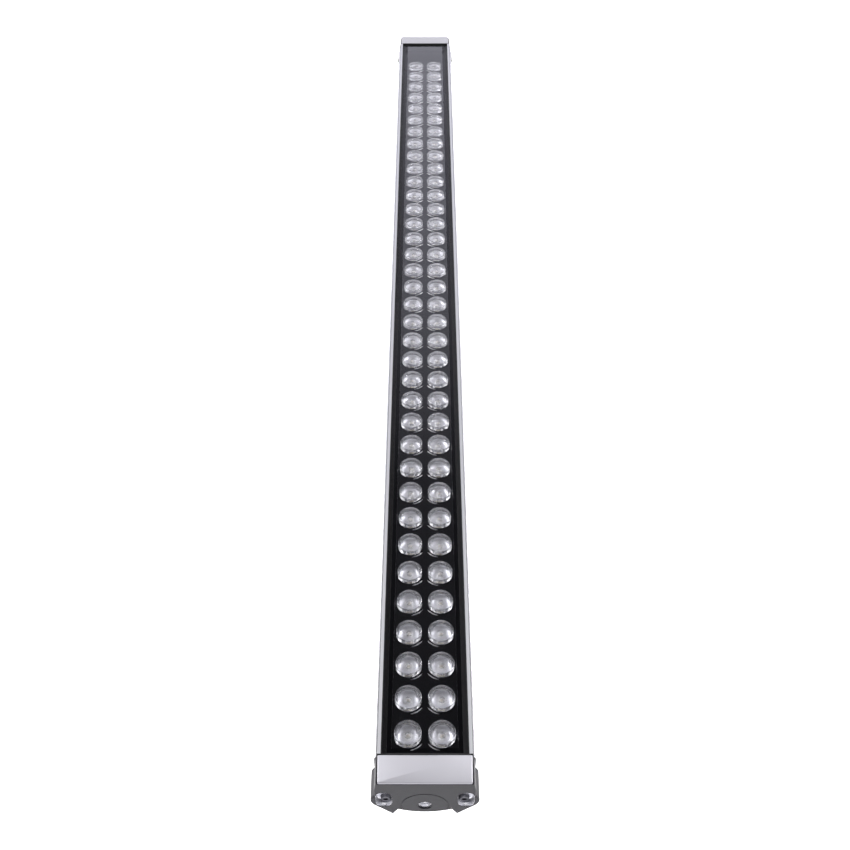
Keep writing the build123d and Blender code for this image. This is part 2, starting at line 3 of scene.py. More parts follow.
import bmesh
import bpy
from bpy.props import FloatProperty, FloatVectorProperty, IntProperty, PointerProperty
from mathutils import Matrix, Vector


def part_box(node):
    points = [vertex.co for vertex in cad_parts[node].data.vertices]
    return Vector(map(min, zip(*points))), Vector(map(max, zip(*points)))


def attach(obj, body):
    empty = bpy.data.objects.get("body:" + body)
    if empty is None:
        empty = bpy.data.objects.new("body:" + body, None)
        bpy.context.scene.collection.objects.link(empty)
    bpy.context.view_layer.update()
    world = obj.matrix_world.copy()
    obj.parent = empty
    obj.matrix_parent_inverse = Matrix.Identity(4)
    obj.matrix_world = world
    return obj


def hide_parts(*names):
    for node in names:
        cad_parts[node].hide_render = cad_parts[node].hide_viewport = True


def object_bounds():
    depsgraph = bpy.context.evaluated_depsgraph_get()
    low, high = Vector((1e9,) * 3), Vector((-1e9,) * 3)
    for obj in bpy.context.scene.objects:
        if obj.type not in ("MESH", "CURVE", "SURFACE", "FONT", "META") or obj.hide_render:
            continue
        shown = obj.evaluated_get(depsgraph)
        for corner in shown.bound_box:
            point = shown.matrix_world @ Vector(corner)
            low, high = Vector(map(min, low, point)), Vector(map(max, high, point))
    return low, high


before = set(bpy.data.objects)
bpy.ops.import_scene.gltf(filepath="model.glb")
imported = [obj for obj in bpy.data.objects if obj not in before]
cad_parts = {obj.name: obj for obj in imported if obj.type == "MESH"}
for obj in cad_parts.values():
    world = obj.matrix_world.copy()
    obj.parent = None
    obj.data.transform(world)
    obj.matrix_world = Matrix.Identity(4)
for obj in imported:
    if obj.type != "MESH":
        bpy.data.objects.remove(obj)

bl_info = {
    "name": "LED strip batten",
    "version": (1, 0, 0),
    "blender": (4, 5, 0),
    "location": "3D View > Sidebar > Batten",
    "description": "Builds the looks of a two-column LED batten around its engineering model",
    "category": "Object",
}

BODY = "batten"
ENDS = {"front": -1, "rear": 1}
CAD_LOW, CAD_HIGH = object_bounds()
RIM_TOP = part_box("housing_profile")[1].z
GLASS_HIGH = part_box("cover_glass")[1]
# Faces lower than this below the rims take the darker finish. The floor of the groove beside each side shelf
# is included, as painted shade.
DARK_FINISH_DEPTH = 0.0053        # side shelves, just above the floor of the groove beside them
BONDED_SIDE = 0.0059        # glass bonded to the mask's border, along the sides
BONDED_END = 0.0040         # and at the ends
WINDOW_HALF = GLASS_HIGH.x - BONDED_SIDE
WINDOW_END = GLASS_HIGH.y - BONDED_END
BANKS = sorted(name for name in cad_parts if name.startswith("lens_bank_"))


# ---------------------------------------------------------------- mesh helpers
def smooth(mesh, sharp_degrees=32):
    mesh.shade_smooth()
    mesh.set_sharp_from_angle(angle=math.radians(sharp_degrees))
    return mesh


def mesh_from(bm, name, sharp_degrees=32):
    bmesh.ops.remove_doubles(bm, verts=bm.verts, dist=1e-7)
    bmesh.ops.recalc_face_normals(bm, faces=bm.faces)
    mesh = bpy.data.meshes.new(name)
    bm.to_mesh(mesh)
    bm.free()
    return smooth(mesh, sharp_degrees)


def add_object(name, mesh):
    obj = bpy.data.objects.new(name, mesh)
    bpy.context.scene.collection.objects.link(obj)
    return obj


def finish_piece(obj, material, body=BODY, replaced=()):
    """Give a finished piece its material, its body and the engineering pieces that it stands for."""
    if material is not None:
        obj.data.materials.clear()
        obj.data.materials.append(material)
    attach(obj, body)
    if replaced:
        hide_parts(*replaced)
    return obj


def lathe(bm, outline, segments, axis=Matrix.Identity(4)):
    """Turn an outline of (radius, height) about the axis; ends on the axis close to a point."""
    rings = []
    for radius, height in outline:
        if radius < 1e-9:
            rings.append([bm.verts.new(axis @ Vector((0, 0, height)))])
            continue
        turn = [2 * math.pi * k / segments for k in range(segments)]
        rings.append([bm.verts.new(axis @ Vector((radius * math.cos(a), radius * math.sin(a), height)))
                      for a in turn])
    for first, second in zip(rings, rings[1:]):
        for k in range(segments):
            loop = [first[k % len(first)], first[(k + 1) % len(first)],
                    second[(k + 1) % len(second)], second[k % len(second)]]
            corners = list(dict.fromkeys(loop))
            if len(corners) > 2:
                bm.faces.new(corners)
    return bm


def loft(bm, loops, close_start=True, close_end=True):
    """Skin a list of closed loops that have the same number of points."""
    rings = [[bm.verts.new(point) for point in loop] for loop in loops]
    count = len(rings[0])
    for first, second in zip(rings, rings[1:]):
        for k in range(count):
            bm.faces.new((first[k], first[(k + 1) % count], second[(k + 1) % count], second[k]))
    if close_start:
        bm.faces.new(rings[0][::-1])
    if close_end:
        bm.faces.new(rings[-1])
    return bm


def arc(centre_x, centre_z, radius, start, end, steps):
    """Points of an arc, angles in degrees."""
    angles = [math.radians(start + (end - start) * k / steps) for k in range(steps + 1)]
    return [(centre_x + radius * math.cos(a), centre_z + radius * math.sin(a)) for a in angles]


# ---------------------------------------------------------------- geometry nodes
def group_socket(tree, name, kind, direction="INPUT"):
    return tree.interface.new_socket(name=name, in_out=direction, socket_type=kind)


def tree_with(name, inputs):
    """A geometry tree with named inputs and one geometry output."""
    tree = bpy.data.node_groups.new(name, "GeometryNodeTree")
    for label, kind in inputs:
        group_socket(tree, label, kind)
    group_socket(tree, "Geometry", "NodeSocketGeometry", "OUTPUT")
    return tree, tree.nodes.new("NodeGroupInput"), tree.nodes.new("NodeGroupOutput")


def realize_with_material(tree, instances, start, end):
    """Realize the copies, give them their material and send them out."""
    realize = tree.nodes.new("GeometryNodeRealizeInstances")
    paint = tree.nodes.new("GeometryNodeSetMaterial")
    tree.links.new(instances, realize.inputs["Geometry"])
    tree.links.new(realize.outputs["Geometry"], paint.inputs["Geometry"])
    tree.links.new(start.outputs["Material"], paint.inputs["Material"])
    tree.links.new(paint.outputs["Geometry"], end.inputs["Geometry"])


def grid_tree():
    """Copies of one piece on a rectangular grid, in rows and columns."""
    tree, start, end = tree_with("pieces_in_rows", (
        ("Piece", "NodeSocketObject"), ("Material", "NodeSocketMaterial"),
        ("Columns", "NodeSocketInt"), ("Rows", "NodeSocketInt"),
        ("Width", "NodeSocketFloat"), ("Length", "NodeSocketFloat"), ("Centre", "NodeSocketVector")))
    grid = tree.nodes.new("GeometryNodeMeshGrid")
    for label, socket in (("Columns", "Vertices X"), ("Rows", "Vertices Y"), ("Width", "Size X"),
                          ("Length", "Size Y")):
        tree.links.new(start.outputs[label], grid.inputs[socket])
    shift = tree.nodes.new("GeometryNodeTransform")
    tree.links.new(grid.outputs["Mesh"], shift.inputs["Geometry"])
    tree.links.new(start.outputs["Centre"], shift.inputs["Translation"])
    copies = tree.nodes.new("GeometryNodeInstanceOnPoints")
    info = tree.nodes.new("GeometryNodeObjectInfo")
    tree.links.new(start.outputs["Piece"], info.inputs["Object"])
    tree.links.new(shift.outputs["Geometry"], copies.inputs["Points"])
    tree.links.new(info.outputs["Geometry"], copies.inputs["Instance"])
    realize_with_material(tree, copies.outputs["Instances"], start, end)
    return tree


def ring_tree():
    """Copies of one piece round a circle about Z, each turned to face outwards."""
    tree, start, end = tree_with("pieces_in_ring", (
        ("Piece", "NodeSocketObject"), ("Material", "NodeSocketMaterial"), ("Count", "NodeSocketInt"),
        ("Radius", "NodeSocketFloat")))
    circle = tree.nodes.new("GeometryNodeMeshCircle")
    tree.links.new(start.outputs["Count"], circle.inputs["Vertices"])
    tree.links.new(start.outputs["Radius"], circle.inputs["Radius"])
    place = tree.nodes.new("GeometryNodeInputPosition")
    aim = tree.nodes.new("FunctionNodeAlignRotationToVector")
    aim.axis = "X"
    tree.links.new(place.outputs["Position"], aim.inputs["Vector"])
    copies = tree.nodes.new("GeometryNodeInstanceOnPoints")
    info = tree.nodes.new("GeometryNodeObjectInfo")
    tree.links.new(start.outputs["Piece"], info.inputs["Object"])
    tree.links.new(circle.outputs["Mesh"], copies.inputs["Points"])
    tree.links.new(info.outputs["Geometry"], copies.inputs["Instance"])
    tree.links.new(aim.outputs["Rotation"], copies.inputs["Rotation"])
    realize_with_material(tree, copies.outputs["Instances"], start, end)
    return tree


def tree_named(name, make):
    return bpy.data.node_groups.get(name) or make()


def grown(name, tree, values):
    """Run a geometry tree once and keep its result as a plain mesh."""
    host = add_object(name + "_host", bpy.data.meshes.new(name + "_host"))
    modifier = host.modifiers.new("Copies", "NODES")
    modifier.node_group = tree
    for item in tree.interface.items_tree:
        if item.item_type == "SOCKET" and item.in_out == "INPUT" and item.name in values:
            modifier[item.identifier] = values[item.name]
    graph = bpy.context.evaluated_depsgraph_get()
    mesh = bpy.data.meshes.new_from_object(host.evaluated_get(graph))
    mesh.name = name
    bpy.data.objects.remove(host)
    return mesh


def repeated(name, unit_mesh, tree, values):
    """Repeat a unit mesh by a geometry tree, then drop the unit."""
    unit = add_object(name + "_unit", unit_mesh)
    mesh = grown(name, tree, {"Piece": unit, **values})
    bpy.data.objects.remove(unit)
    return mesh


# ---------------------------------------------------------------- shader helpers
def new_group(name, inputs, outputs):
    """An empty shader group with named inputs (label, kind, default) and outputs."""
    tree = bpy.data.node_groups.new(name, "ShaderNodeTree")
    for label, kind, default in inputs:
        group_socket(tree, label, kind).default_value = default
    for label, kind in outputs:
        group_socket(tree, label, kind, "OUTPUT")
    return tree, tree.nodes.new("NodeGroupInput"), tree.nodes.new("NodeGroupOutput")


def maths(tree, operation, first, second):
    """A maths node; each term is a socket or a plain number."""
    node = tree.nodes.new("ShaderNodeMath")
    node.operation = operation
    for socket, term in zip(node.inputs, (first, second)):
        if isinstance(term, (int, float)):
            socket.default_value = term
        else:
            tree.links.new(term, socket)
    return node.outputs[0]


def spread(tree, value, low, high):
    """Map a 0 to 1 value to a range."""
    node = tree.nodes.new("ShaderNodeMapRange")
    for label, term in (("Value", value), ("To Min", low), ("To Max", high)):
        if isinstance(term, (int, float)):
            node.inputs[label].default_value = term
        else:
            tree.links.new(term, node.inputs[label])
    return node.outputs["Result"]


FLOAT, COLOUR, VECTOR = "NodeSocketFloat", "NodeSocketColor", "NodeSocketVector"


def noise(tree, vector, scale, detail=3.0, stretch=None):
    """Noise on a vector, which may first be stretched along an axis."""
    if stretch is not None:
        mapping = tree.nodes.new("ShaderNodeMapping")
        mapping.inputs["Scale"].default_value = stretch
        tree.links.new(vector, mapping.inputs["Vector"])
        vector = mapping.outputs["Vector"]
    node = tree.nodes.new("ShaderNodeTexNoise")
    node.inputs["Detail"].default_value = detail
    tree.links.new(vector, node.inputs["Vector"])
    if isinstance(scale, (int, float)):
        node.inputs["Scale"].default_value = scale
    else:
        tree.links.new(scale, node.inputs["Scale"])
    return node.outputs["Fac"]


def bump(tree, height, distance, strength=1.0):
    node = tree.nodes.new("ShaderNodeBump")
    for label, term in (("Distance", distance), ("Strength", strength), ("Height", height)):
        if isinstance(term, (int, float)):
            node.inputs[label].default_value = term
        else:
            tree.links.new(term, node.inputs[label])
    return node.outputs["Normal"]


def tinted(tree, colour, factor, low, high):
    """A colour made darker and lighter by a 0 to 1 factor."""
    node = tree.nodes.new("ShaderNodeMix")
    node.data_type = "RGBA"
    node.blend_type = "MULTIPLY"
    node.inputs["Factor"].default_value = 1.0
    grey = tree.nodes.new("ShaderNodeCombineColor")
    shade = spread(tree, factor, low, high)
    for label in ("Red", "Green", "Blue"):
        tree.links.new(shade, grey.inputs[label])
    tree.links.new(colour, node.inputs["A"])
    tree.links.new(grey.outputs["Color"], node.inputs["B"])
    return node.outputs["Result"]


def surface_group():
    """Fine grain over slow handling marks: colour, roughness and normal of a plain finish."""
    tree, start, end = new_group("fine_finish", (
        ("Colour", COLOUR, (0.5, 0.5, 0.5, 1)), ("Roughness", FLOAT, 0.4), ("Roughness Spread", FLOAT, 0.08),
        ("Grain Scale", FLOAT, 3000.0), ("Grain Height", FLOAT, 0.00002), ("Tone Spread", FLOAT, 0.06)),
        (("Colour", COLOUR), ("Roughness", FLOAT), ("Normal", VECTOR)))
    place = tree.nodes.new("ShaderNodeTexCoord").outputs["Object"]
    grain = noise(tree, place, start.outputs["Grain Scale"], 2.0)
    marks = noise(tree, place, 38.0, 5.0)
    low = maths(tree, "SUBTRACT", 1.0, start.outputs["Tone Spread"])
    high = maths(tree, "ADD", 1.0, start.outputs["Tone Spread"])
    tree.links.new(tinted(tree, start.outputs["Colour"], marks, low, high), end.inputs["Colour"])
    shift = maths(tree, "MULTIPLY", maths(tree, "SUBTRACT", marks, 0.5), start.outputs["Roughness Spread"])
    tree.links.new(maths(tree, "ADD", start.outputs["Roughness"], shift), end.inputs["Roughness"])
    tree.links.new(bump(tree, grain, start.outputs["Grain Height"]), end.inputs["Normal"])
    return tree


def drawn_group():
    """Long drawing lines of an extrusion, along Y, over slow handling marks."""
    tree, start, end = new_group("drawn_lines", (
        ("Colour", COLOUR, (0.7, 0.7, 0.72, 1)), ("Roughness", FLOAT, 0.3), ("Roughness Spread", FLOAT, 0.12),
        ("Line Scale", FLOAT, 900.0), ("Line Height", FLOAT, 0.00001), ("Tone Spread", FLOAT, 0.05)),
        (("Colour", COLOUR), ("Roughness", FLOAT), ("Normal", VECTOR)))
    place = tree.nodes.new("ShaderNodeTexCoord").outputs["Object"]
    lines = noise(tree, place, start.outputs["Line Scale"], 3.0, (1.0, 0.012, 1.0))
    marks = noise(tree, place, 24.0, 4.0, (1.0, 0.3, 1.0))
    low = maths(tree, "SUBTRACT", 1.0, start.outputs["Tone Spread"])
    high = maths(tree, "ADD", 1.0, start.outputs["Tone Spread"])
    tree.links.new(tinted(tree, start.outputs["Colour"], lines, low, high), end.inputs["Colour"])
    shift = maths(tree, "MULTIPLY", maths(tree, "SUBTRACT", marks, 0.5), start.outputs["Roughness Spread"])
    tree.links.new(maths(tree, "ADD", start.outputs["Roughness"], shift), end.inputs["Roughness"])
    tree.links.new(bump(tree, lines, start.outputs["Line Height"]), end.inputs["Normal"])
    return tree


def bare_material(name):
    material = bpy.data.materials.new(name)
    material.use_nodes = True
    material.node_tree.nodes.clear()
    return material, material.node_tree


def shaded(name, group_name, make_group, group_values, shader_values):
    """A Principled material whose colour, roughness and normal come from a shared group."""
    known = bpy.data.materials.get(name)
    if known:
        return known
    material, tree = bare_material(name)
    shader = tree.nodes.new("ShaderNodeBsdfPrincipled")
    for label, value in shader_values.items():
        shader.inputs[label].default_value = value
    output = tree.nodes.new("ShaderNodeOutputMaterial")
    tree.links.new(shader.outputs["BSDF"], output.inputs["Surface"])
    group = tree.nodes.new("ShaderNodeGroup")
    group.node_tree = tree_named(group_name, make_group)
    for label, value in group_values.items():
        group.inputs[label].default_value = value
    tree.links.new(group.outputs["Colour"], shader.inputs["Base Color"])
    tree.links.new(group.outputs["Roughness"], shader.inputs["Roughness"])
    tree.links.new(group.outputs["Normal"], shader.inputs["Normal"])
    return material


def finish(name, colour, roughness, grain_scale=3000.0, grain_height=0.00002, tone=0.06, wander=0.08,
           **shader_values):
    """A plain fine finish: paint, moulded plastic, rubber or blasted metal."""
    return shaded(name, "fine_finish", surface_group, {
        "Colour": (*colour, 1), "Roughness": roughness, "Roughness Spread": wander,
        "Grain Scale": grain_scale, "Grain Height": grain_height, "Tone Spread": tone}, shader_values)


def drawn_aluminium(name, colour, roughness, metal, tone=0.05):
    return shaded(name, "drawn_lines", drawn_group, {
        "Colour": (*colour, 1), "Roughness": roughness, "Tone Spread": tone}, {"Metallic": metal})


# ---------------------------------------------------------------- finishes of this batten
def anodised():
    return drawn_aluminium("anodised_silver", bpy.context.scene.batten_finish.anodised, 0.42, 0.25)


# Darker copy of the housing's finish for the faces below the shelves; on the groove floor beside each shelf
# it is painted shade.
def dark_low_faces_and_groove_shade():
    return drawn_aluminium("dark_low_faces_and_groove_shade", bpy.context.scene.batten_finish.side, 0.42, 0.5, 0.08)


def satin_plate():
    return finish("satin_plate", bpy.context.scene.batten_finish.plate, 0.46, grain_scale=5200.0,
                  grain_height=0.000012, tone=0.03, Metallic=0.6)


def powder_coat():
    return finish("grey_powder_coat", bpy.context.scene.batten_finish.cap, 0.5, grain_scale=1500.0,
                  grain_height=0.00005, tone=0.05, **{"Specular IOR Level": 0.22})


def black_moulding():
    return finish("black_moulding", bpy.context.scene.batten_finish.mask, 0.16, grain_scale=4200.0,
                  grain_height=0.000002, tone=0.12, **{"Specular IOR Level": 0.25})


# Bright metal of the arcs beside the lenses: a painted glint.
def painted_glint_finish():
    return finish("painted_glint_finish", (0.8, 0.8, 0.82), 0.35, grain_scale=2500.0, grain_height=0.000003,
                  tone=0.1, wander=0.04, Metallic=0.4)


def bright_machined():
    return finish("bright_machined", (0.9, 0.9, 0.91), 0.26, grain_scale=900.0, grain_height=0.00001,
                  tone=0.1, wander=0.12, Metallic=0.75)


def silvered():
    return finish("silvered_cup", (0.9, 0.9, 0.92), 0.3, grain_scale=2000.0, grain_height=0.000004,
                  tone=0.04, Metallic=1.0)


def stainless():
    return finish("stainless", (0.62, 0.62, 0.63), 0.26, grain_scale=2200.0, grain_height=0.000008,
                  tone=0.1, wander=0.12, Metallic=1.0)


def dark_steel():
    return finish("dark_steel", (0.13, 0.13, 0.14), 0.36, grain_scale=2200.0, grain_height=0.000008,
                  tone=0.1, wander=0.12, Metallic=1.0)


def nickel():
    return finish("nickel_plate", (0.66, 0.64, 0.6), 0.24, grain_scale=1800.0, grain_height=0.000008,
                  tone=0.08, Metallic=1.0)


def black_rubber():
    return finish("black_rubber", (0.004, 0.004, 0.0045), 0.7, grain_scale=2600.0, grain_height=0.00003,
                  tone=0.15, **{"Specular IOR Level": 0.3})


def white_moulding():
    return finish("white_moulding", (0.82, 0.82, 0.8), 0.32, grain_scale=2600.0, grain_height=0.00001)


def phosphor():
    return finish("led_phosphor", (0.5, 0.46, 0.36), 0.35, grain_scale=9000.0, grain_height=0.00001, tone=0.1)


def white_solder_mask():
    return finish("white_solder_mask", (0.84, 0.84, 0.82), 0.28, grain_scale=1400.0, grain_height=0.000006)


def green_solder_mask():
    return finish("green_solder_mask", (0.03, 0.17, 0.07), 0.3, grain_scale=1400.0, grain_height=0.000006)


def grey_pad():
    return finish("grey_thermal_pad", (0.32, 0.33, 0.35), 0.75, grain_scale=1600.0, grain_height=0.00004)


def window_mask(tree):
    """1 inside the open window of the mask, 0 over its border, where the glass is bonded."""
    place = tree.nodes.new("ShaderNodeTexCoord").outputs["Object"]
    parts = tree.nodes.new("ShaderNodeSeparateXYZ")
    tree.links.new(place, parts.inputs["Vector"])
    within = []
    for label, half in (("X", WINDOW_HALF), ("Y", WINDOW_END)):
        away = maths(tree, "ABSOLUTE", parts.outputs[label], 0.0)
        within.append(maths(tree, "LESS_THAN", away, half))
    return maths(tree, "MULTIPLY", *within)


def cover_glass_material():
    """Thin clear glass: lets lamps and the view straight through, and mirrors more at a low angle."""
    material, tree = bare_material("cover_glass_clear")
    clear = tree.nodes.new("ShaderNodeBsdfTransparent")
    clear.inputs["Color"].default_value = (0.97, 0.97, 0.975, 1)
    mirror = tree.nodes.new("ShaderNodeBsdfGlossy")
    mirror.inputs["Roughness"].default_value = 0.04
    edge = tree.nodes.new("ShaderNodeFresnel")
    edge.inputs["IOR"].default_value = 1.5
    side = tree.nodes.new("ShaderNodeNewGeometry")
    outside = maths(tree, "SUBTRACT", 1.0, side.outputs["Backfacing"])
    # Over the window the underside mirrors too; over the border it is bonded to black rubber.
    faces = spread(tree, window_mask(tree), 1.0, 3.2)
    share = maths(tree, "MULTIPLY", maths(tree, "MULTIPLY", edge.outputs["Fac"], faces), outside)
    mix = tree.nodes.new("ShaderNodeMixShader")
    output = tree.nodes.new("ShaderNodeOutputMaterial")
    tree.links.new(maths(tree, "MINIMUM", share, 1.0), mix.inputs["Fac"])
    tree.links.new(clear.outputs["BSDF"], mix.inputs[1])
    tree.links.new(mirror.outputs["BSDF"], mix.inputs[2])
    tree.links.new(mix.outputs["Shader"], output.inputs["Surface"])
    return material


def lens_material():
    """Optical acrylic, faintly cloudy: refracts and mirrors inside, lets lamps through to what it covers."""
    material, tree = bare_material("lens_acrylic")
    body = tree.nodes.new("ShaderNodeBsdfPrincipled")
    body.inputs["Base Color"].default_value = (0.86, 0.86, 0.885, 1)
    body.inputs["Roughness"].default_value = 0.2
    body.inputs["IOR"].default_value = 1.49
    body.inputs["Transmission Weight"].default_value = 0.88
    clear = tree.nodes.new("ShaderNodeBsdfTransparent")
    clear.inputs["Color"].default_value = (0.93, 0.93, 0.94, 1)
    path = tree.nodes.new("ShaderNodeLightPath")
    mix = tree.nodes.new("ShaderNodeMixShader")
    output = tree.nodes.new("ShaderNodeOutputMaterial")
    tree.links.new(path.outputs["Is Shadow Ray"], mix.inputs["Fac"])
    tree.links.new(body.outputs["BSDF"], mix.inputs[1])
    tree.links.new(clear.outputs["BSDF"], mix.inputs[2])
    tree.links.new(mix.outputs["Shader"], output.inputs["Surface"])
    return material


def paint_node(name, material):
    """Give an engineering piece a better material; its shape is left alone."""
    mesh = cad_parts[name].data
    mesh.materials.clear()
    mesh.materials.append(material)


def paint_nodes(names, material):
    for name in names:
        paint_node(name, material)


def both(name):
    return [f"{name}_{end}" for end in ENDS]


# ---------------------------------------------------------------- sizes and colours a user may change
class BattenOptics(bpy.types.PropertyGroup):
    """Sizes of the lenses and of the bright arcs beside them, which are a painted glint."""

    lens_diameter: FloatProperty(name="Lens diameter", description="Outside of one lens",
                                 default=0.0177, unit="LENGTH")
    lens_rows: IntProperty(name="Rows in a bank", description="Rows of lenses on one board", default=9)
    lens_columns: IntProperty(name="Columns", description="Columns of lenses", default=2)
    ring_share: FloatProperty(name="Inner ring", description="Inner ring radius as a share of the lens",
                              default=0.62, subtype="FACTOR")
    # The lip is the bright arc beside each lens, a painted glint.
    glint_arc_width: FloatProperty(name="Lip width", description="Raised lip beside each lens",
                             default=0.0008, unit="LENGTH")


class BattenFinish(bpy.types.PropertyGroup):
    """Colours of the outside."""

    anodised: FloatVectorProperty(name="Anodised silver", description="Extruded housing", subtype="COLOR",
                                  default=(0.93, 0.93, 0.94), min=0, max=1)
    # Colour of the housing below its shelves; the groove floor beside each shelf takes it as painted shade.
    side: FloatVectorProperty(name="Drawn sides", description="Housing below its shelves", subtype="COLOR",
                              default=(0.15, 0.15, 0.155), min=0, max=1)
    plate: FloatVectorProperty(name="End plates", description="Flat plates on the end caps",
                               subtype="COLOR", default=(0.365, 0.36, 0.385), min=0, max=1)
    cap: FloatVectorProperty(name="End caps", description="Powder coat of the cast end caps",
                             subtype="COLOR", default=(0.022, 0.021, 0.024), min=0, max=1)
    mask: FloatVectorProperty(name="Lens mask", description="Black moulding round the lenses",
                              subtype="COLOR", default=(0.0016, 0.0016, 0.0022), min=0, max=1)


class BattenStage(bpy.types.PropertyGroup):
    """Camera and lights."""

    camera_ahead: FloatProperty(name="Camera ahead", description="Camera to the batten's front end",
                                default=0.321, unit="LENGTH")
    camera_above: FloatProperty(name="Camera above", description="Camera above the rims",
                                default=0.6182, unit="LENGTH")
    camera_pitch: FloatProperty(name="Camera pitch", description="Camera below the horizon",
                                default=math.radians(44.55), subtype="ANGLE")
    focal_length: FloatProperty(name="Focal length", description="Lens of the camera, millimetres",
                                default=46.66)
    side_light: FloatProperty(name="Side lights", description="Power of each long side light, watts",
                              default=70.0)
    back_light: FloatProperty(name="Backdrop", description="Brightness near the horizon", default=1.0)


# ---------------------------------------------------------------- lenses
LENS_SHOULDER = 0.00085     # skirt to the start of the cone, on the radius
LENS_TIP = 0.0036           # radius of the cone's small end
LENS_CAVITY = 0.0024        # radius of the hollow over the LED
LENS_CAVITY_DEPTH = 0.0025
LENS_DISH = 0.00045         # depth of the dished middle
LENS_STEP = 0.00025         # step round the dish
LENS_CORNER = 0.0006        # rounding of the top's outer edge
LENS_STAND = 0.0040         # lens top above the floor of the mask
LENS_FACES = 48             # faces round one lens
CUP_GAP, CUP_WALL = 0.00012, 0.00018    # silvered cup behind the lens
CUP_FACES = 40
# The lip beside each lens is a bright arc on the inner front side of its hole only: a painted glint.
LIP_GAP = 0.0021            # lens to the middle of the lip beside it, on the radius
LIP_TURN = 32               # degrees from straight ahead to the middle of the lip
LIP_SWEEP = 48              # degrees that the lip covers
LIP_STEPS = 12


def cone_curve(radius, skirt, height):
    """Curved outside of the lens below its skirt, as (radius, height) points."""
    shoulder, tip = radius - LENS_SHOULDER, LENS_TIP
    return [(tip + (shoulder - tip) * math.cos(k * math.pi / 16) ** 0.8,
             -skirt - (height - skirt) * math.sin(k * math.pi / 16)) for k in range(9)]


def lens_outline(radius, skirt, height, ring_radius):
    """Section of one lens from the middle of its top, down its outside to the LED cavity."""
    dish = [(ring_radius * k / 6, -LENS_DISH * (1 - (k / 6) ** 2) - LENS_STEP) for k in range(7)]
    top = [(ring_radius + 0.00012, -0.0001), (ring_radius + 0.0003, 0.0), (radius - LENS_CORNER, -0.00006),
           (radius - LENS_CORNER / 3, -0.00025), (radius, -LENS_CORNER)]
    side = [(radius, -skirt + 0.0004), (radius - 0.0002, -skirt), *cone_curve(radius, skirt, height)]
    roof = LENS_CAVITY_DEPTH - height
    cavity = [(LENS_CAVITY, -height), (LENS_CAVITY - 0.0001, roof - 0.0005),
              (LENS_CAVITY / 2, roof - 0.0001), (0.0, roof)]
    return [*dish, *top, *side, *cavity]


def reflector_outline(radius, skirt, height):
    """Section of the thin silvered cup behind a lens."""
    inner = [(r + CUP_GAP, z - CUP_GAP) for r, z in cone_curve(radius, skirt, height)]
    outer = [(r + CUP_WALL, z - CUP_WALL) for r, z in reversed(inner)]
    return [*inner, *outer, inner[0]]


class BATTEN_OT_lenses(bpy.types.Operator):
    """Make the four banks of clear lenses"""

    bl_idname = "batten.lenses"
    bl_label = "Lenses"

    def execute(self, context):
        optics = context.scene.batten_optics
        radius = optics.lens_diameter / 2
        clear = lens_material()
        for number, bank in enumerate(BANKS, 1):
            low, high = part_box(bank)
            skirt = high.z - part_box(f"lens_holders_{number}")[1].z
            height = high.z - low.z
            rows = {"Columns": optics.lens_columns, "Rows": optics.lens_rows,
                    "Width": high.x - low.x - 2 * radius, "Length": high.y - low.y - 2 * radius,
                    "Centre": (0.0, (low.y + high.y) / 2, high.z)}
            tree = tree_named("pieces_in_rows", grid_tree)
            bm = bmesh.new()
            lathe(bm, lens_outline(radius, skirt, height, radius * optics.ring_share), LENS_FACES)
            mesh = repeated(f"optics_{number}", mesh_from(bm, "lens", 24), tree, {"Material": clear, **rows})
            finish_piece(add_object(f"lens_optics_{number}", mesh), None, replaced=(bank,))
            bm = bmesh.new()
            lathe(bm, reflector_outline(radius, skirt, height), CUP_FACES)
            mesh = repeated(f"cups_{number}", mesh_from(bm, "cup", 40), tree,
                            {"Material": silvered(), **rows})
            finish_piece(add_object(f"reflector_cups_{number}", mesh), None)
        return {"FINISHED"}


class BATTEN_OT_mask(bpy.types.Operator):
    """Finish the black mask and add a bright arc beside each lens, a painted glint"""

    bl_idname = "batten.mask"
    bl_label = "Lens mask"

    def execute(self, context):
        optics = context.scene.batten_optics
        paint_node("lens_mask", black_moulding())
        low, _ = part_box(BANKS[0])
        _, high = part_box(BANKS[-1])
        radius = optics.lens_diameter / 2
        ring = radius + LIP_GAP
        floor = high.z - LENS_STAND
        column = (high.x - low.x) / 2 - radius
        bm = bmesh.new()
        for side in (-1, 1):
            # The bright arc runs only round the inner front quarter of each hole. It is a painted glint,
            # placed where light glints on the hole's rim from this view.
            middle = math.radians(-90 - side * LIP_TURN)
            loops = []
            for step in range(LIP_STEPS + 1):
                turn = middle + math.radians(LIP_SWEEP) * (step / LIP_STEPS - 0.5)
                swell = math.sin(math.pi * (step + 0.6) / (LIP_STEPS + 1.2))
                loops.append([Vector((side * column + (ring + x * swell) * math.cos(turn),
                                      (ring + x * swell) * math.sin(turn), floor + z * swell))
                              for x, z in arc(0, 0, optics.glint_arc_width / 2, 0, 315, 7)])
            loft(bm, loops)
        mesh = repeated("mask_lips", mesh_from(bm, "lip", 50), tree_named("pieces_in_rows", grid_tree), {
            "Material": painted_glint_finish(), "Columns": 1, "Rows": optics.lens_rows * len(BANKS), "Width": 0.0,
            "Length": high.y - low.y - 2 * radius, "Centre": (0.0, (low.y + high.y) / 2, 0.0)})
        finish_piece(add_object("mask_lips", mesh), None)
        return {"FINISHED"}


class BATTEN_OT_glass(bpy.types.Operator):
    """Finish the cover glass, its gasket and its sealant"""

    bl_idname = "batten.glass"
    bl_label = "Cover glass"

    def execute(self, context):
        paint_node("cover_glass", cover_glass_material())
        paint_nodes(("glass_gasket", "glass_sealant", *both("end_gasket")), black_rubber())
        return {"FINISHED"}


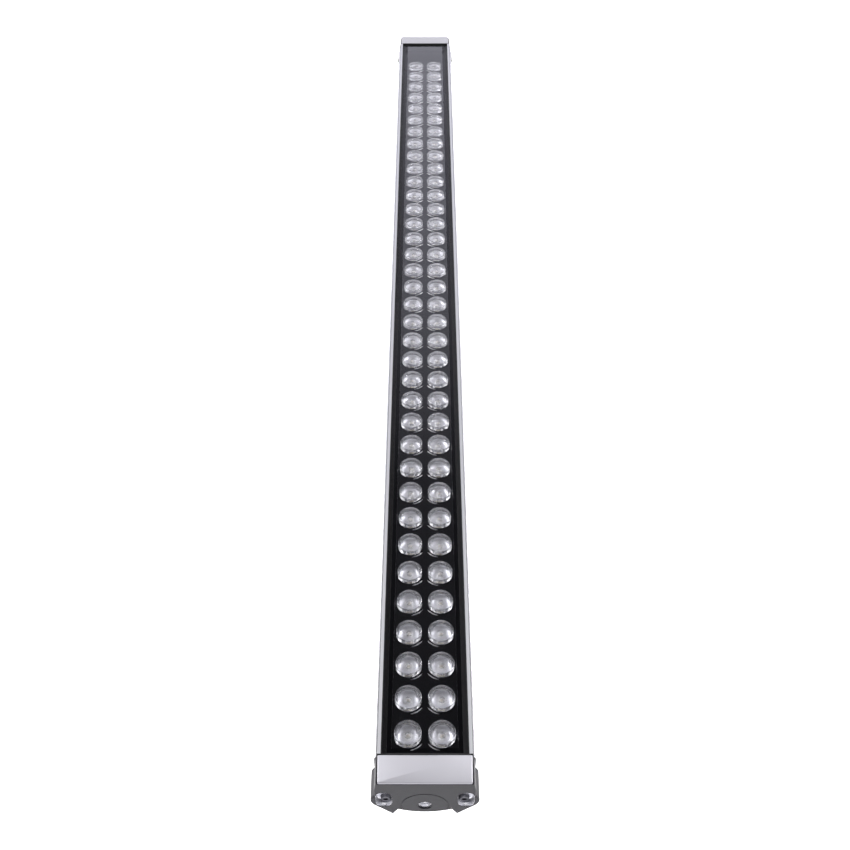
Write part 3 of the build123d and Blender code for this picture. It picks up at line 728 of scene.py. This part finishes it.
class BATTEN_OT_housing(bpy.types.Operator):
    """Finish the extruded housing"""

    bl_idname = "batten.housing"
    bl_label = "Housing"

    def execute(self, context):
        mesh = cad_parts["housing_profile"].data
        paint_node("housing_profile", anodised())
        mesh.materials.append(dark_low_faces_and_groove_shade())
        # Faces below the shelves take the darker copy; this includes the groove floor beside each shelf, as
        # painted shade.
        for face in mesh.polygons:
            face.material_index = int(face.center.z < RIM_TOP - DARK_FINISH_DEPTH)
        return {"FINISHED"}


class BATTEN_OT_inside(bpy.types.Operator):
    """Finish the boards, LEDs, holders and wiring"""

    bl_idname = "batten.inside"
    bl_label = "Inside"

    def execute(self, context):
        for number in range(1, len(BANKS) + 1):
            paint_node(f"led_board_{number}", white_solder_mask())
            paint_node(f"led_emitters_{number}", phosphor())
            paint_node(f"lens_holders_{number}", black_moulding())
        paint_nodes(("board_screws", *both("nut_bar")), stainless())
        paint_nodes(("board_links",), white_moulding())
        paint_node("thermal_pads", grey_pad())
        paint_node("driver_board", green_solder_mask())
        paint_nodes(("driver_components", "supply_leads"), black_rubber())
        return {"FINISHED"}


# ---------------------------------------------------------------- end caps
PLATE_INSET = 0.0006        # each long side of the plate inside the engineering plate
PLATE_TAPER = 0.0004        # plate narrower at its outer end, each side
PLATE_CORNER = 0.0007
PLATE_ROLL = 0.0004         # rounding of the plate's upper edge
LOBE_RADIUS = 0.0083
POCKET_TOP = 0.0123         # rims to the top of a screw pocket
POCKET_LENGTH = 0.0173
POCKET_RADIUS = 0.0052
POCKET_DEPTH = 0.005
POCKET_BACK = 0.0001        # back of a pocket's lining inside the pocket's radius
HEAD_ROOM = 0.0002          # gap round a screw head in the pocket's floor
PLUG_RADIUS = 0.0033
PLUG_TOP = 0.0008           # cap face to the top of the plug
PLUG_RISE = 0.0016
PLUG_LENGTH = 0.0040
# Inset and depth of the pocket's wall, from its mouth to its floor.
POCKET_STEPS = ((0.00005, 0.0001), (0.0002, 0.0004), (0.0005, 0.0044), (0.0009, 0.0048))


def plate_loop(low, high, inner_half, outer_half, inset, z, side):
    """Outline of an end plate at one height, with round corners at its outer end."""
    inner, outer = (high.y, low.y) if side < 0 else (low.y, high.y)
    inner += side * inset
    outer -= side * inset
    inner_half -= inset
    outer_half -= inset
    turns = [math.pi / 2 * k / 6 for k in range(7)]
    near = [(outer_half - PLATE_CORNER * (1 - math.sin(t)), outer - side * PLATE_CORNER * (1 - math.cos(t)))
            for t in turns]
    far = [(-x, y) for x, y in reversed(near)]
    return [Vector((x, y, z)) for x, y in ((-inner_half, inner), *far, *near, (inner_half, inner))]


def obround(centre_x, centre_z, radius, half_straight, y, steps=12):
    """Upright slot outline in the XZ plane."""
    upper = arc(centre_x, centre_z + half_straight, radius, 0, 180, steps)
    lower = arc(centre_x, centre_z - half_straight, radius, 180, 360, steps)
    return [Vector((x, y, z)) for x, z in upper + lower]


class BATTEN_OT_end_caps(bpy.types.Operator):
    """Finish the cast caps; make their silver plates and bright screw pockets"""

    bl_idname = "batten.end_caps"
    bl_label = "End caps"

    def execute(self, context):
        paint_nodes(both("end_cap"), powder_coat())
        paint_nodes(both("centre_insert"), bright_machined())
        for end, side in ENDS.items():
            self.top_plate(end, side)
            self.pockets(end, side)
            self.centre_plug(end, side)
        return {"FINISHED"}

    def top_plate(self, end, side):
        """Flat plate with round outer corners and a soft rolled edge."""
        low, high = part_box(f"end_top_plate_{end}")
        inner_half = high.x - PLATE_INSET
        outer_half = inner_half - PLATE_TAPER
        bm = bmesh.new()
        loops = [plate_loop(low, high, inner_half, outer_half, 0.0, z, side)
                 for z in (low.z, high.z - PLATE_ROLL)]
        for k in range(1, 5):
            t = math.pi / 2 * k / 4
            loops.append(plate_loop(low, high, inner_half, outer_half, PLATE_ROLL * (1 - math.cos(t)),
                                    high.z - PLATE_ROLL * (1 - math.sin(t)), side))
        loft(bm, loops)
        mesh = mesh_from(bm, f"end_plate_{end}", 40)
        finish_piece(add_object(f"end_plate_{end}", mesh), satin_plate(),
                     replaced=(f"end_top_plate_{end}",))

    def centre_plug(self, end, side):
        """Domed bright plug inside the lined centre hole."""
        low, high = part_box(f"centre_insert_{end}")
        face = low.y if side < 0 else high.y
        turn = Matrix.Rotation(math.pi / 2 if side < 0 else -math.pi / 2, 4, "X")
        outline = [(0.0, -PLUG_TOP), *((PLUG_RADIUS * math.sin(a), -PLUG_TOP - PLUG_RISE * (1 - math.cos(a)))
                                      for a in (0.4, 0.8, 1.2, math.pi / 2)),
                   (PLUG_RADIUS, -PLUG_TOP - PLUG_LENGTH), (0.0, -PLUG_TOP - PLUG_LENGTH)]
        bm = lathe(bmesh.new(), outline, 40,
                   Matrix.Translation((0, face, (low.z + high.z) / 2)) @ turn)
        finish_piece(add_object(f"centre_plug_{end}", mesh_from(bm, f"centre_plug_{end}", 40)),
                     bright_machined())

    def pockets(self, end, side):
        """Bright machined lining of each screw pocket, narrower at its floor."""
        low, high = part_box(f"end_cap_{end}")
        face = low.y if side < 0 else high.y
        bore_low, bore_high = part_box(f"cap_screws_{end}")
        head = (bore_high.z - bore_low.z) / 2
        bore = head + HEAD_ROOM
        straight = POCKET_LENGTH / 2 - POCKET_RADIUS
        z = RIM_TOP - POCKET_TOP - POCKET_LENGTH / 2
        bore_z = (bore_high.z + bore_low.z) / 2
        bm = bmesh.new()
        for lobe in (-1, 1):
            x = lobe * (high.x - LOBE_RADIUS)
            bore_x = lobe * (bore_high.x - head)
            loft(bm, [obround(x, z, POCKET_RADIUS - inset, straight, face - side * depth)
                      for inset, depth in POCKET_STEPS]
                 + [obround(bore_x, bore_z, bore, 0.0, face - side * POCKET_DEPTH),
                    obround(bore_x, bore_z, bore, 0.0, face - side * (POCKET_DEPTH - 0.00004)),
                    obround(x, z, POCKET_RADIUS - POCKET_BACK, straight,
                            face - side * (POCKET_DEPTH - 0.00001)),
                    obround(x, z, POCKET_RADIUS - POCKET_STEPS[0][0], straight,
                            face - side * POCKET_STEPS[0][1])],
                 False, False)
        mesh = mesh_from(bm, f"screw_pockets_{end}", 40)
        finish_piece(add_object(f"screw_pockets_{end}", mesh), bright_machined())


# ---------------------------------------------------------------- screws
HEAD_HEIGHT = 0.0024
HEAD_BEVEL = 0.0003
HEAD_TRIM = 0.0001          # barrel of the head below the tips of its ribs
SOCKET_RADIUS, SOCKET_DEPTH = 0.0017, 0.0014
SHANK_RADIUS = 0.0020
THREAD_PITCH, THREAD_DEPTH = 0.0008, 0.0003
KNURL_RIBS = 36
KNURL_RADIUS, KNURL_LENGTH = 0.00014, 0.0014
KNURL_INSET = 0.00012       # middle of a rib inside the engineering head


def screw_head_unit(radius):
    """Cap screw head on the Z axis, its face at Z = 0 and looking up, with a hexagon socket."""
    bm = bmesh.new()
    segments = 48

    def circle(r, z):
        angles = (2 * math.pi * k / segments for k in range(segments))
        return [Vector((r * math.cos(a), r * math.sin(a), z)) for a in angles]

    def hexagon(r, z):
        points = []
        for k in range(segments):
            a = 2 * math.pi * k / segments
            within = (a + math.pi / 6) % (math.pi / 3) - math.pi / 6
            reach = r * math.cos(math.pi / 6) / math.cos(within)
            points.append(Vector((reach * math.cos(a), reach * math.sin(a), z)))
        return points

    loops = [circle(radius, -HEAD_HEIGHT), circle(radius, -HEAD_BEVEL),
             circle(radius - HEAD_BEVEL * 0.3, -HEAD_BEVEL * 0.3), circle(radius - HEAD_BEVEL, 0),
             circle(SOCKET_RADIUS + 0.0004, 0), circle(SOCKET_RADIUS + 0.0001, -0.00025),
             hexagon(SOCKET_RADIUS, -0.0003), hexagon(SOCKET_RADIUS, -SOCKET_DEPTH),
             hexagon(SOCKET_RADIUS * 0.5, -SOCKET_DEPTH - 0.0004)]
    loft(bm, loops)
    return bm


def shank(bm, end):
    """Threaded shank below a head: a coarse row of rounded rings."""
    start = -HEAD_HEIGHT
    root = SHANK_RADIUS - THREAD_DEPTH
    turns = max(2, int((start - end) / THREAD_PITCH))
    outline = [(0, start)]
    for k in range(turns):
        z = start - (start - end) * k / turns
        outline += [(SHANK_RADIUS, z), (root, z - THREAD_PITCH * 0.5)]
    outline += [(root, end), (0, end)]
    lathe(bm, outline, 24)


class BATTEN_OT_screws(bpy.types.Operator):
    """Make the four cap screws with knurled socket heads"""

    bl_idname = "batten.screws"
    bl_label = "Cap screws"

    def execute(self, context):
        for end, side in ENDS.items():
            low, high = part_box(f"cap_screws_{end}")
            radius = (high.z - low.z) / 2
            x = (high.x - low.x) / 2 - radius
            z = (high.z + low.z) / 2
            face = low.y if side < 0 else high.y
            inner = high.y if side < 0 else low.y
            bm = screw_head_unit(radius - HEAD_TRIM)
            shank(bm, -abs(inner - face))
            knurl = bmesh.new()
            bmesh.ops.create_cone(knurl, cap_ends=True, segments=3, radius1=KNURL_RADIUS,
                                  radius2=KNURL_RADIUS, depth=KNURL_LENGTH)
            ribs = repeated("knurl", mesh_from(knurl, "rib", 10), tree_named("pieces_in_ring", ring_tree), {
                "Material": dark_steel(), "Count": KNURL_RIBS, "Radius": radius - KNURL_INSET})
            ribs.transform(Matrix.Translation((0, 0, -HEAD_HEIGHT / 2 - 0.0002)))
            bm.from_mesh(ribs)
            unit = mesh_from(bm, "cap_screw", 30)
            # The unit looks up Z; turn it to look out of the cap.
            unit.transform(Matrix.Rotation(math.pi / 2 if side < 0 else -math.pi / 2, 4, "X"))
            mesh = repeated(f"socket_screws_{end}", unit, tree_named("pieces_in_rows", grid_tree), {
                "Material": dark_steel(), "Columns": 2, "Rows": 1, "Width": 2 * x, "Length": 0.0,
                "Centre": (0.0, face, z)})
            finish_piece(add_object(f"socket_screws_{end}", mesh), None,
                         replaced=(f"cap_screws_{end}",))
        return {"FINISHED"}


# ---------------------------------------------------------------- feet and glands
GRIP_RIBS = 18
GRIP_RING = 0.00785         # middle of the ribs from the gland's axis
GRIP_RADIUS, GRIP_LENGTH = 0.0005, 0.0075
GRIP_HEIGHT = 0.0072        # middle of the ribs above the gland's lower end


class BATTEN_OT_feet(bpy.types.Operator):
    """Finish the tilting feet and their pivots"""

    bl_idname = "batten.feet"
    bl_label = "Tilting feet"

    def execute(self, context):
        paint_nodes((*both("bracket_foot"), *both("ear_block")), powder_coat())
        paint_nodes((*both("pivot_bolt"), *both("pivot_nut"), *both("ear_screws")), stainless())
        paint_nodes(both("friction_washers"), white_moulding())
        return {"FINISHED"}


class BATTEN_OT_glands(bpy.types.Operator):
    """Finish the cable glands and add their grip ribs; finish the vent"""

    bl_idname = "batten.glands"
    bl_label = "Glands and vent"

    def execute(self, context):
        paint_nodes((*both("cable_gland"), *both("gland_nut")), nickel())
        paint_node("breather_vent", black_rubber())
        for end in ENDS:
            low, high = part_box(f"cable_gland_{end}")
            centre = (low + high) / 2
            rib = bmesh.new()
            bmesh.ops.create_cone(rib, cap_ends=True, segments=6, radius1=GRIP_RADIUS,
                                  radius2=GRIP_RADIUS, depth=GRIP_LENGTH)
            mesh = repeated(f"gland_ribs_{end}", mesh_from(rib, "rib", 50),
                            tree_named("pieces_in_ring", ring_tree),
                            {"Material": nickel(), "Count": GRIP_RIBS, "Radius": GRIP_RING})
            mesh.transform(Matrix.Translation((0, centre.y, low.z + GRIP_HEIGHT)))
            finish_piece(add_object(f"gland_ribs_{end}", mesh), None)
        return {"FINISHED"}


# ---------------------------------------------------------------- stage
def area_light(name, place, target, size, size_y, power):
    data = bpy.data.lights.new(name, "AREA")
    data.shape = "RECTANGLE"
    data.size, data.size_y, data.energy = size, size_y, power
    light = add_object(name, data)
    light.location = place
    light.rotation_euler = (Vector(target) - Vector(place)).to_track_quat("-Z", "Y").to_euler()
    light.visible_camera = False
    return light


# Long side lights: place of their middles, width, and length in batten lengths.
LIGHT_OUT, LIGHT_ALONG, LIGHT_UP = 1.2, 0.45, 0.72
LIGHT_WIDTH, LIGHT_LENGTHS = 0.6, 1.9
FLOOR_HALF = 6.0
# Brightness of the surround against the sine of its height above the horizon.
SKY = ((0.2, 1.0), (0.44, 0.6), (0.62, 0.42), (0.74, 0.09), (0.86, 0.05), (1.0, 0.03))


def world_sky(back):
    """Plain surround: white low down, dark overhead."""
    world = bpy.data.worlds.new("studio")
    bpy.context.scene.world = world
    world.use_nodes = True
    tree = world.node_tree
    tree.nodes.clear()
    place = tree.nodes.new("ShaderNodeTexCoord").outputs["Generated"]
    parts = tree.nodes.new("ShaderNodeSeparateXYZ")
    tree.links.new(place, parts.inputs["Vector"])
    ramp = tree.nodes.new("ShaderNodeValToRGB")
    tree.links.new(parts.outputs["Z"], ramp.inputs["Fac"])
    steps = ramp.color_ramp.elements
    while len(steps) < len(SKY):
        steps.new(1.0)
    for step, (height, shade) in zip(steps, SKY):
        step.position = height
        step.color = (shade, shade, shade * 1.16, 1)
    sky = tree.nodes.new("ShaderNodeBackground")
    sky.inputs["Strength"].default_value = back
    output = tree.nodes.new("ShaderNodeOutputWorld")
    tree.links.new(ramp.outputs["Color"], sky.inputs["Color"])
    tree.links.new(sky.outputs["Background"], output.inputs["Surface"])


def floor_material():
    material, tree = bare_material("pale_floor")
    shader = tree.nodes.new("ShaderNodeBsdfPrincipled")
    shader.inputs["Base Color"].default_value = (0.9, 0.9, 0.9, 1)
    shader.inputs["Roughness"].default_value = 0.9
    shader.inputs["Emission Color"].default_value = (1, 1, 1, 1)
    shader.inputs["Emission Strength"].default_value = 0.75
    output = tree.nodes.new("ShaderNodeOutputMaterial")
    tree.links.new(shader.outputs["BSDF"], output.inputs["Surface"])
    return material


class BATTEN_OT_stage(bpy.types.Operator):
    """Lay the floor, hang the lights and set the camera"""

    bl_idname = "batten.stage"
    bl_label = "Stage"

    def execute(self, context):
        stage = context.scene.batten_stage
        bm = bmesh.new()
        bmesh.ops.create_grid(bm, x_segments=1, y_segments=1, size=FLOOR_HALF)
        floor = add_object("floor", mesh_from(bm, "floor"))
        floor.data.materials.append(floor_material())
        world_sky(stage.back_light)
        length = CAD_HIGH.y - CAD_LOW.y
        for name, side in (("left_light", -1), ("right_light", 1)):
            area_light(name, (side * LIGHT_OUT, LIGHT_ALONG, LIGHT_UP), (0, LIGHT_ALONG, RIM_TOP),
                       LIGHT_WIDTH, LIGHT_LENGTHS * length, stage.side_light)
        data = bpy.data.cameras.new("camera")
        data.sensor_width = 36.0
        data.lens = stage.focal_length
        data.clip_start, data.clip_end = 0.01, 50.0
        camera = add_object("camera", data)
        camera.location = (0, CAD_LOW.y - stage.camera_ahead, RIM_TOP + stage.camera_above)
        camera.rotation_euler = (math.pi / 2 - stage.camera_pitch, 0, 0)
        context.scene.camera = camera
        context.scene.view_settings.view_transform = "Standard"
        return {"FINISHED"}


class BATTEN_PT_panel(bpy.types.Panel):
    """Steps that build the batten"""

    bl_idname = "BATTEN_PT_panel"
    bl_label = "LED strip batten"
    bl_space_type = "VIEW_3D"
    bl_region_type = "UI"
    bl_category = "Batten"

    def draw(self, context):
        for group in ("batten_optics", "batten_finish", "batten_stage"):
            settings = getattr(context.scene, group)
            box = self.layout.box()
            for label in settings.__annotations__:
                box.prop(settings, label)
        for step in STEPS:
            self.layout.operator(step.bl_idname)


SETTINGS = {"batten_optics": BattenOptics, "batten_finish": BattenFinish, "batten_stage": BattenStage}
STEPS = (BATTEN_OT_stage, BATTEN_OT_housing, BATTEN_OT_glass, BATTEN_OT_mask, BATTEN_OT_lenses,
         BATTEN_OT_inside, BATTEN_OT_end_caps, BATTEN_OT_screws, BATTEN_OT_glands, BATTEN_OT_feet)


def register():
    for kind in (*SETTINGS.values(), *STEPS, BATTEN_PT_panel):
        bpy.utils.register_class(kind)
    for name, kind in SETTINGS.items():
        setattr(bpy.types.Scene, name, PointerProperty(type=kind))


def unregister():
    for name in SETTINGS:
        delattr(bpy.types.Scene, name)
    for kind in (BATTEN_PT_panel, *reversed(STEPS), *reversed(SETTINGS.values())):
        bpy.utils.unregister_class(kind)


def main():
    register()
    for step in STEPS:
        group, name = step.bl_idname.split(".")
        getattr(getattr(bpy.ops, group), name)()


if __name__ == "__main__":
    main()
